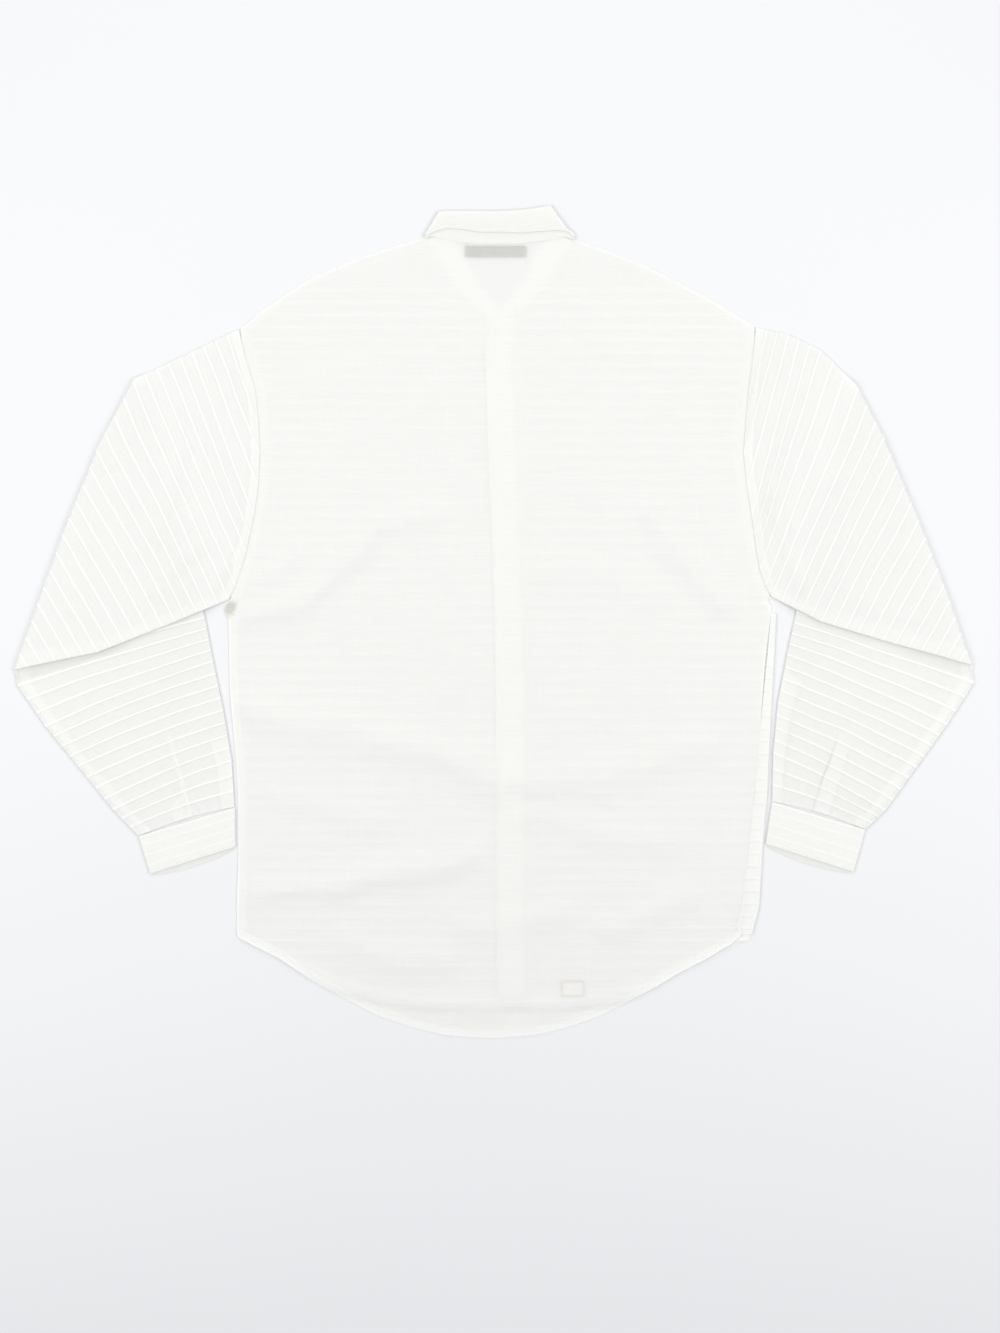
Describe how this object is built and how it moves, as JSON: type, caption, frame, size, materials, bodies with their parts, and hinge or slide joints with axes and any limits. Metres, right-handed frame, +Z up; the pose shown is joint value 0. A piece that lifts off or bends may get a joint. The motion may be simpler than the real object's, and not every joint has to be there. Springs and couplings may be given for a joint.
{
  "type": "pleated shirt",
  "caption": "Sheer cotton shirt with pin-tucked fronts and sleeves, plain back and turned-down collar, laid flat front side down with the forearms folded under.",
  "frame": {"origin": "on the floor, at the middle of the shirt's bounding box", "axes": "+X to the right as seen from above, +Y from the hem to the collar, +Z up out of the shirt's back"},
  "size_m": [1.0357, 0.8987, 0.0065],
  "materials": {
    "cotton": "sheer plain-woven white cotton, matt",
    "tucked_cotton": "sheer white cotton with stitched pin tucks, matt",
    "band_cotton": "doubled white cotton, topstitched, matt",
    "label": "bare woven grey label",
    "care_tag": "bare satin tag",
    "button": "small pale shirt button"
  },
  "bodies": {
    "root": {"back": "cotton", "front_left": "tucked_cotton", "front_right": "tucked_cotton", "placket": "band_cotton", "button_stand": "band_cotton", "collar_stand": "band_cotton", "collar_fall": "band_cotton", "collar_front_left": "band_cotton", "collar_front_right": "band_cotton", "sleeve_left": "tucked_cotton", "sleeve_right": "tucked_cotton", "cuff_left": "band_cotton", "cuff_right": "band_cotton", "neck_label": "label", "care_label": "care_tag", "top_button": "button"}
  },
  "joints": []
}
